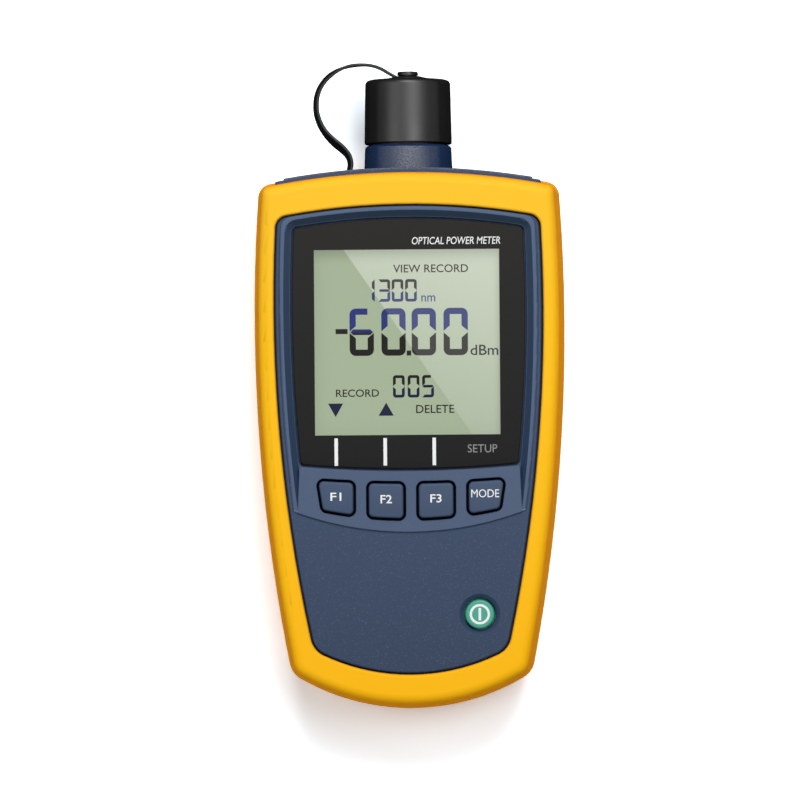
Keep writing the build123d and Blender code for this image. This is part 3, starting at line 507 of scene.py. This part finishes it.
def inkMaterial(name, low, high, rough=inkLook["matt"]):
    s = Shader(name)
    grain = s.noise(inkLook["grain"], inkLook["grainDetail"])
    return s.coat({"Base Color": s.tint(grain, low, high), "Specular IOR Level": inkLook["shine"],
                   "Roughness": s.swing(grain, rough - inkLook["uneven"], rough + inkLook["uneven"])})


def makeSegmentInk(name, low, high, split, soft):
    # display ink that turns from one tone to another at a height
    s = Shader(name)
    grain = s.noise(segmentLook["grain"], segmentLook["grainDetail"])
    rise = s.range(s.axes()[1], (split - soft) * mm, (split + soft) * mm)
    tone = s.add(rise, s.times(s.minus(grain, 0.5), segmentLook["ragged"]))
    colour = s.ramp(tone, list(zip(segmentLook["stops"], (linear(low), linear(high)))))
    return s.coat({"Base Color": colour, "Roughness": segmentLook["rough"],
                   "Specular IOR Level": segmentLook["shine"]})


lcdInk = inkMaterial("lcdInk", (26, 27, 28), (34, 35, 37))
whiteInk = inkMaterial("whiteInk", (226, 228, 228), (240, 241, 241), inkLook["printed"])
greyInk = inkMaterial("greyInk", (128, 128, 128), (146, 146, 146), inkLook["printed"])
navyInk = inkMaterial("navyInk", (26, 28, 62), (32, 34, 70))
mainInk = makeSegmentInk("mainDigitInk", (24, 22, 20), (44, 54, 130), 13.8, 0.7)
waveInk = makeSegmentInk("waveDigitInk", (48, 60, 122), (40, 38, 42), 24.5, 0.5)
recordInk = makeSegmentInk("recordDigitInk", (18, 24, 66), (18, 18, 20), -0.3, 0.5)
nmInk = inkMaterial("nmInk", (58, 84, 140), (66, 92, 150))

# bars of each figure, lettered clockwise from the top with the middle one last
figures = {"0": "abcdef", "1": "bc", "3": "abcdg", "5": "acdfg", "6": "acdefg"}
# slant, gap and middle are in bars, stub in widths, arc in steps
figureLook = {"slant": 0.85, "gap": 0.12, "stub": 0.74, "middle": 0.45, "arc": 6}


def figureOutlines(figure, x, y, width, height, bar):
    # outlines of one figure with its lower left corner at x, y; bars that meet share a round corner
    shown = figures[figure]
    slant = figureLook["slant"] * bar
    gap = figureLook["gap"] * bar
    outlines = []
    for up, near, left, right in ((1, "a", "f", "b"), (-1, "d", "e", "c")):
        far = y + height if up > 0 else y
        middle = y + height / 2 + up * gap
        inner = far - up * bar
        start = x + bar if left in shown else x
        end = x + width - bar if right in shown else x + figureLook["stub"] * width
        if near in shown:
            cut = start if left in shown else start + slant
            outlines.append([(start, far), (end, far), (end, inner), (cut, inner)])
        for side, edge, way in ((left, x, 1), (right, x + width, -1)):
            if side not in shown:
                continue
            outer = inner if near in shown else far
            outlines.append([(edge, middle), (edge, outer), (edge + way * bar, inner),
                             (edge + way * bar, middle + up * slant)])
            if near in shown:
                outlines.append(cornerOutline(edge + way * bar, inner, bar, -way, up))
    if "g" in shown:
        middle, half = y + height / 2, bar * figureLook["middle"]
        low, high = x + gap, x + width - gap
        outlines.append([(low, middle), (low + half, middle + half), (high - half, middle + half),
                         (high, middle), (high - half, middle - half), (low + half, middle - half)])
    return [facing(outline) for outline in outlines]


def cornerOutline(x, y, radius, wayX, wayY):
    # quarter disc about an inner corner
    turns = [math.pi / 2 * i / figureLook["arc"] for i in range(figureLook["arc"] + 1)]
    return [(x, y)] + [(x + wayX * radius * math.cos(t), y + wayY * radius * math.sin(t)) for t in turns]


def facing(outline):
    # the outline turned counter-clockwise
    area = sum(p[0] * q[1] - q[0] * p[1] for p, q in zip(outline, outline[1:] + outline[:1]))
    return outline if area > 0 else outline[::-1]


def rectangle(x0, x1, y0, y1):
    return [(x0, y0), (x1, y0), (x1, y1), (x0, y1)]


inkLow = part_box("lcd_panel")[1].z / mm + lcdLook["lift"]
inkHigh = inkLow + lcdLook["ink"]


def digitPiece(name, look):
    outlines = []
    for figure, x in zip(look["text"], look["x"]):
        outlines += figureOutlines(figure, x, look["y"], *look["size"], look["bar"])
    meshPiece(name, *prisms(outlines, inkLow, inkHigh), look["ink"], "case")


# figures, signs and arrows of the reading on the display
digitLooks = {
    "mainDigits": {"text": "6000", "x": (-15.33, -7.1, 0.74, 8.98), "y": 7.66, "size": (6.28, 12.26),
                   "bar": 1.62, "ink": mainInk},
    "waveDigits": {"text": "1300", "x": (-11.75, -7.75, -4.35, -0.87), "y": 21.62, "size": (3.0, 5.8),
                   "bar": 0.72, "ink": waveInk},
    "recordDigits": {"text": "005", "x": (-4.21, -0.4, 3.35), "y": -3.2, "size": (3.04, 5.79),
                     "bar": 0.74, "ink": recordInk},
}
for name, look in digitLooks.items():
    digitPiece(name, look)
signLook = {"minus": (-18.95, -15.85, 13.35, 14.64), "point": (-0.59, 0.57, 7.66, 8.95)}
signs = [rectangle(*sides) for sides in signLook.values()]
meshPiece("lcdSigns", *prisms(signs, inkLow, inkHigh), lcdInk, "case")
arrowLook = {"down": [(-21.02, -4.62), (-19.08, -8.11), (-17.14, -4.62)],
             "up": [(-7.96, -7.85), (-4.05, -7.85), (-6.01, -4.49)]}
arrows = [facing(arrow) for arrow in arrowLook.values()]
meshPiece("lcdArrows", *prisms(arrows, inkLow, inkHigh), navyInk, "case")

textLook = {"extrude": 0.5, "resolution": 4}


def textPiece(name, words, middle, size, level, thick, material, body, weight=0.0, lean=0.0):
    # a line of lettering fitted to a width and a height
    curve = bpy.data.curves.new(name, "FONT")
    curve.body = words
    curve.align_x = "CENTER"
    curve.offset = weight
    curve.shear = lean
    curve.extrude = textLook["extrude"]
    curve.resolution_u = textLook["resolution"]
    holder = bpy.data.objects.new(name + "Curve", curve)
    bpy.context.scene.collection.objects.link(holder)
    bpy.context.view_layer.update()
    mesh = bpy.data.meshes.new_from_object(holder.evaluated_get(bpy.context.evaluated_depsgraph_get()))
    bpy.data.objects.remove(holder)
    xs = [v.co.x for v in mesh.vertices]
    ys = [v.co.y for v in mesh.vertices]
    spanX, spanY = max(xs) - min(xs), max(ys) - min(ys)
    midX, midY = (max(xs) + min(xs)) / 2, (max(ys) + min(ys)) / 2
    for v in mesh.vertices:
        v.co = Vector(((middle[0] + (v.co.x - midX) / spanX * size[0]) * mm,
                       (middle[1] + (v.co.y - midY) / spanY * size[1]) * mm,
                       (level + (v.co.z + textLook["extrude"]) * thick) * mm))
    mesh.materials.clear()
    mesh.materials.append(material)
    mesh.name = name
    piece = bpy.data.objects.new(name, mesh)
    bpy.context.scene.collection.objects.link(piece)
    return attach(piece, body)


lcdWords = [("wordViewRecord", "VIEW RECORD", (5.75, 30.16), (19.39, 2.07), lcdInk),
            ("wordWave", "nm", (5.1, 22.4), (3.62, 1.6), nmInk),
            ("wordUnit", "dBm", (19.5, 8.99), (7.2, 2.66), lcdInk),
            ("wordRecord", "RECORD", (-13.39, -1.97), (11.12, 1.94), lcdInk),
            ("wordDelete", "DELETE", (6.65, -6.19), (9.83, 2.09), lcdInk)]
for name, words, middle, size, ink in lcdWords:
    textPiece(name, words, middle, size, inkLow, lcdLook["ink"], ink, "case", lcdLook["weight"])

# print on the lens: three leader lines, a function word and a plain description
printLook = {"lift": 0.01, "thick": 0.03, "tickX": (-18.91, -6.27, 6.37), "tickHalf": 0.45,
             "tickLow": -20.74, "tickHigh": -13.65, "kindWeight": 0.004, "kindLean": 0.15}
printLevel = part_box("display_lens")[1].z / mm + printLook["lift"]
ticks = [rectangle(x - printLook["tickHalf"], x + printLook["tickHalf"], printLook["tickLow"],
                   printLook["tickHigh"]) for x in printLook["tickX"]]
meshPiece("lensTicks", *prisms(ticks, printLevel, printLevel + printLook["thick"]), whiteInk, "case")
textPiece("wordSetup", "SETUP", (18.82, -16.49), (7.61, 2.1), printLevel, printLook["thick"], greyInk,
          "case")
textPiece("wordKind", "OPTICAL POWER METER", (12.4, 37.2), (22.8, 1.9), printLevel, printLook["thick"],
          whiteInk, "case", printLook["kindWeight"], printLook["kindLean"])

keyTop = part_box("key_f1")[1].z / mm
keyWords = [("key_f1", "F1", (-19.0, -28.68), (2.83, 2.1), 0.012),
            ("key_f2", "F2", (-6.05, -29.39), (2.95, 2.15), 0.012),
            ("key_f3", "F3", (6.74, -29.28), (2.9, 2.15), 0.012),
            ("key_mode", "MODE", (19.42, -28.09), (7.2, 2.06), 0.0)]
for key, words, middle, size, weight in keyWords:
    textPiece(key + "Legend", words, middle, size, keyTop + printLook["lift"], printLook["thick"],
              whiteInk, key + "_body", weight)


def annulus(x, y, inner, outer, low, high, count):
    # flat ring between two levels
    points, faces = [], []
    section = ((inner, low), (outer, low), (outer, high), (inner, high))
    turns = [2 * math.pi / count * i for i in range(count)]
    for radius, level in section:
        points += [((x + radius * math.cos(t)) * mm, (y + radius * math.sin(t)) * mm, level * mm)
                   for t in turns]
    for part in range(len(section)):
        for i in range(count):
            j = (i + 1) % count
            a, b = part * count, (part + 1) % len(section) * count
            faces.append([a + i, a + j, b + j, b + i])
    return points, faces


# power sign on its button
powerLook = {"outer": 2.62, "inner": 2.0, "barHalf": 0.34, "barReach": 1.6, "lift": 0.01, "thick": 0.03,
             "sides": 48}
powerLow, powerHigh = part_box("power_button")
powerX = (powerLow.x + powerHigh.x) / 2 / mm
powerY = (powerLow.y + powerHigh.y) / 2 / mm
signLow = powerHigh.z / mm + powerLook["lift"]
signHigh = signLow + powerLook["thick"]
meshPiece("powerRing", *annulus(powerX, powerY, powerLook["inner"], powerLook["outer"], signLow, signHigh,
                                powerLook["sides"]), whiteInk, "power_button_body")
bar = rectangle(powerX - powerLook["barHalf"], powerX + powerLook["barHalf"],
                powerY - powerLook["barReach"], powerY + powerLook["barReach"])
meshPiece("powerBar", *prisms([bar], signLow, signHigh), whiteInk, "power_button_body")
print("stage: lettering")

# strap: a ribbon that leaves its slot, twists a little and loops over to the cap's nub
strapLook = {"thick": 0.85, "width": 4.2, "steps": 96, "sides": 20, "square": 0.35, "dense": 20,
             "rooted": 4.6, "ringAt": 24.0, "ringOuter": 5.6, "ringInner": 1.9, "ringRim": 0.12,
             "ringCore": 0.4, "ringStep": 1.6, "ringSides": 40}
strapLine = [(-15.6, -3.4), (-15.4, -0.5), (-15.1, 1.7), (-15.7, 3.8), (-17.3, 5.6), (-19.4, 7.4),
             (-21.4, 9.5), (-22.9, 11.9), (-23.8, 14.6), (-24.0, 16.7), (-23.8, 19.2), (-22.9, 21.7),
             (-21.2, 24.0), (-18.7, 25.9), (-15.6, 27.1), (-12.2, 27.5), (-9.5, 27.3), (-7.1, 26.5),
             (-4.7, 25.1), (-2.9, 24.1)]
strapTurns = [(0.0, 13.0), (0.12, 15.0), (0.22, 22.0), (0.34, 15.0), (0.5, 14.0), (0.62, 14.0), (0.76, 1.0),
              (0.88, 5.0), (1.0, 3.0)]  # share of the length, degrees
tetherLow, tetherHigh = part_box("cap_tether")
crown = tetherLow.y / mm + strapLook["rooted"]  # where the strap comes out of the case
axisZ = (tetherLow.z + tetherHigh.z) / 2 / mm
ringY = crown + strapLook["ringAt"]


def smoothLine(points, steps):
    # even points along a curve through the given ones
    padded = [points[0]] + list(points) + [points[-1]]
    dense = []
    for a, b, c, d in zip(padded, padded[1:], padded[2:], padded[3:]):
        for i in range(strapLook["dense"]):
            t = i / strapLook["dense"]
            dense.append(tuple(0.5 * (2 * q + (r - p) * t + (2 * p - 5 * q + 4 * r - u) * t * t
                                      + (3 * q - p - 3 * r + u) * t ** 3)
                               for p, q, r, u in zip(a, b, c, d)))
    dense.append(points[-1])
    lengths = [0.0]
    for p, q in zip(dense, dense[1:]):
        lengths.append(lengths[-1] + math.dist(p, q))
    out, index = [], 0
    for step in range(steps + 1):
        goal = lengths[-1] * step / steps
        while index < len(lengths) - 2 and lengths[index + 1] < goal:
            index += 1
        share = (goal - lengths[index]) / (lengths[index + 1] - lengths[index])
        out.append(tuple(p + (q - p) * share for p, q in zip(dense[index], dense[index + 1])))
    return out, lengths[-1]


def turnAt(share):
    # degrees that the ribbon is turned about its run, eased between the given places
    for (start, a), (end, b) in zip(strapTurns, strapTurns[1:]):
        if share <= end:
            t = (share - start) / (end - start)
            return a + (b - a) * t * t * (3 - 2 * t)
    return strapTurns[-1][1]


def rounded(part):
    # towards a flat side with soft corners
    return math.copysign(abs(part) ** strapLook["square"], part) / 2


def strapMesh():
    line, length = smoothLine(strapLine, strapLook["steps"])
    points, faces = [], []
    sides = strapLook["sides"]
    up = Vector((0, 0, 1))
    for index, (x, y) in enumerate(line):
        before, after = line[max(index - 1, 0)], line[min(index + 1, len(line) - 1)]
        run = Vector((after[0] - before[0], after[1] - before[1], 0)).normalized()
        across = Vector((-run.y, run.x, 0))
        angle = math.radians(turnAt(index / (len(line) - 1)))
        thin = across * math.cos(angle) + up * math.sin(angle)
        wide = up * math.cos(angle) - across * math.sin(angle)
        for side in range(sides):
            turn = 2 * math.pi * (side + 0.5) / sides
            spot = Vector((x, crown + y, axisZ)) + thin * (rounded(math.cos(turn)) * strapLook["thick"])
            spot += wide * (rounded(math.sin(turn)) * strapLook["width"])
            points.append(tuple(spot * mm))
    for index in range(len(line) - 1):
        for side in range(sides):
            after = (side + 1) % sides
            a, b = index * sides, (index + 1) * sides
            faces.append([a + side, a + after, b + after, b + side])
    faces.append(list(reversed(range(sides))))
    faces.append([(len(line) - 1) * sides + i for i in range(sides)])
    addRing(points, faces)
    return points, faces, length


def addRing(points, faces):
    # ring round the nub's stem, thinner towards its rim
    core, rim = strapLook["ringCore"], strapLook["ringRim"]
    inner, outer = strapLook["ringInner"], strapLook["ringOuter"]
    section = [(inner, -core), (outer, -core), (outer, -core + rim), (outer - rim, -core + 2 * rim),
               (inner * strapLook["ringStep"], core), (inner, core)]
    count, start = strapLook["ringSides"], len(points)
    for radius, rise in section:
        for i in range(count):
            turn = 2 * math.pi * i / count
            points.append((radius * math.cos(turn) * mm, (ringY + rise) * mm,
                           (axisZ + radius * math.sin(turn)) * mm))
    for part in range(len(section)):
        for i in range(count):
            j = (i + 1) % count
            a = start + part * count
            b = start + (part + 1) % len(section) * count
            faces.append([a + i, b + i, b + j, a + j])


strapCoat = grainy("strapRubber", {"colour": (30, 30, 31), "grain": 2600.0, "spread": 0.12, "rough": 0.45,
                                   "satin": 0.4})
strapPoints, strapFaces, strapLength = strapMesh()
strap = meshPiece("capStrap", strapPoints, strapFaces, strapCoat, None, True)
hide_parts("cap_tether")
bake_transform(strap)
dress("cap_tether", strapCoat)
print("stage: strap", round(strapLength, 1), "mm")

# white floor that the meter lies on, bright where it is seen and pale as a source of bounced light
floorLook = {"size": 6.0, "drop": 0.05, "gain": (1.6, 1.72, 1.82, 1), "near": 2.5, "cloud": 3.0,
             "cloudDetail": 2.0, "low": (0.68, 0.68, 0.68, 1), "high": (0.7, 0.7, 0.7, 1)}


def makeFloor():
    s = Shader("paleFloor")
    stops = [(noiseLook["low"], floorLook["low"]), (noiseLook["high"], floorLook["high"])]
    pale = s.ramp(s.noise(floorLook["cloud"], floorLook["cloudDetail"]), stops)
    path = s.node("ShaderNodeLightPath").outputs
    clear = s.math("MAXIMUM", path["Is Glossy Ray"], path["Is Transmission Ray"])
    clear = s.math("MAXIMUM", path["Is Camera Ray"], clear)
    seen = s.node("ShaderNodeBsdfDiffuse", {"Color": floorLook["gain"]})
    other = s.node("ShaderNodeBsdfDiffuse", {"Color": pale})
    # seen from below the floor is open, and it lets light in to the face that rests on it
    behind = s.node("ShaderNodeNewGeometry").outputs["Backfacing"]
    close = s.math("LESS_THAN", path["Ray Length"], floorLook["near"] * mm)
    gone = s.node("ShaderNodeBsdfTransparent")
    return s.finish(s.blend(s.math("MAXIMUM", behind, close), s.blend(clear, other, seen), gone))


half = floorLook["size"] / 2
corners = [(x, y, -floorLook["drop"] * mm) for x, y in rectangle(-half, half, -half, half)]
floor = meshPiece("floor", corners, [[0, 1, 2, 3]], makeFloor(), None)

# soft boxes round the meter, in metres, all aimed at the origin
lightLooks = {
    "portSide": {"place": (0.12, 0.9, 1.3), "wide": 0.8, "tall": 0.8, "watts": 17},
    "frontRight": {"place": (0.5, 0.25, 1.5), "wide": 0.5, "tall": 0.7, "watts": 5.5},
    "leftFill": {"place": (-1.0, 0.1, 1.3), "wide": 0.8, "tall": 0.8, "watts": 4.4},
    "heelFill": {"place": (0.0, -1.1, 1.3), "wide": 0.9, "tall": 0.7, "watts": 3.2},
}


def areaLight(name, look):
    light = bpy.data.lights.new(name, "AREA")
    light.shape = "RECTANGLE"
    light.size = look["wide"]
    light.size_y = look["tall"]
    light.energy = look["watts"]
    holder = bpy.data.objects.new(name, light)
    holder.location = look["place"]
    holder.rotation_mode = "QUATERNION"
    holder.rotation_quaternion = (-Vector(look["place"])).to_track_quat("-Z", "Y")
    bpy.context.scene.collection.objects.link(holder)


for name, look in lightLooks.items():
    areaLight(name, look)

worldLook = {"colour": (1, 1, 1, 1), "above": 0.12, "below": 0.5, "edge": 0.02}


def makeWorld():
    # dim above the floor, brighter below it for the underside
    made = bpy.data.worlds.new("studio")
    made.use_nodes = True
    tree = made.node_tree
    background = tree.nodes["Background"]
    background.inputs["Color"].default_value = worldLook["colour"]
    split = tree.nodes.new("ShaderNodeSeparateXYZ")
    tree.links.new(tree.nodes.new("ShaderNodeTexCoord").outputs["Generated"], split.inputs[0])
    level = tree.nodes.new("ShaderNodeMapRange")
    tree.links.new(split.outputs["Z"], level.inputs["Value"])
    level.inputs["From Min"].default_value = -worldLook["edge"]
    level.inputs["From Max"].default_value = worldLook["edge"]
    level.inputs["To Min"].default_value = worldLook["below"]
    level.inputs["To Max"].default_value = worldLook["above"]
    tree.links.new(level.outputs["Result"], background.inputs["Strength"])
    return made


scene = bpy.context.scene
scene.world = makeWorld()
scene.view_settings.view_transform = "Standard"

# camera: nearly straight above the face and far back, as the photograph was taken
cameraLook = {"x": -2.6, "y": -3.95, "aim": 30.0, "distance": 1376.0, "focal": 239.1, "sensor": 36.0,
              "clip": 20.0, "roll": -0.43, "yaw": -0.9, "pitch": 0.8}
camera = bpy.data.objects.new("camera", bpy.data.cameras.new("camera"))
camera.data.lens = cameraLook["focal"]
camera.data.sensor_width = cameraLook["sensor"]
camera.data.clip_end = cameraLook["clip"]
yaw = math.radians(cameraLook["yaw"])
pitch = math.radians(cameraLook["pitch"])
away = cameraLook["distance"] * mm
camera.location = (cameraLook["x"] * mm - away * math.sin(yaw),
                   cameraLook["y"] * mm - away * math.sin(pitch),
                   cameraLook["aim"] * mm + away * math.cos(yaw) * math.cos(pitch))
camera.rotation_euler = (pitch, -yaw, math.radians(cameraLook["roll"]))
scene.collection.objects.link(camera)
scene.camera = camera
print("stage: lights and camera")
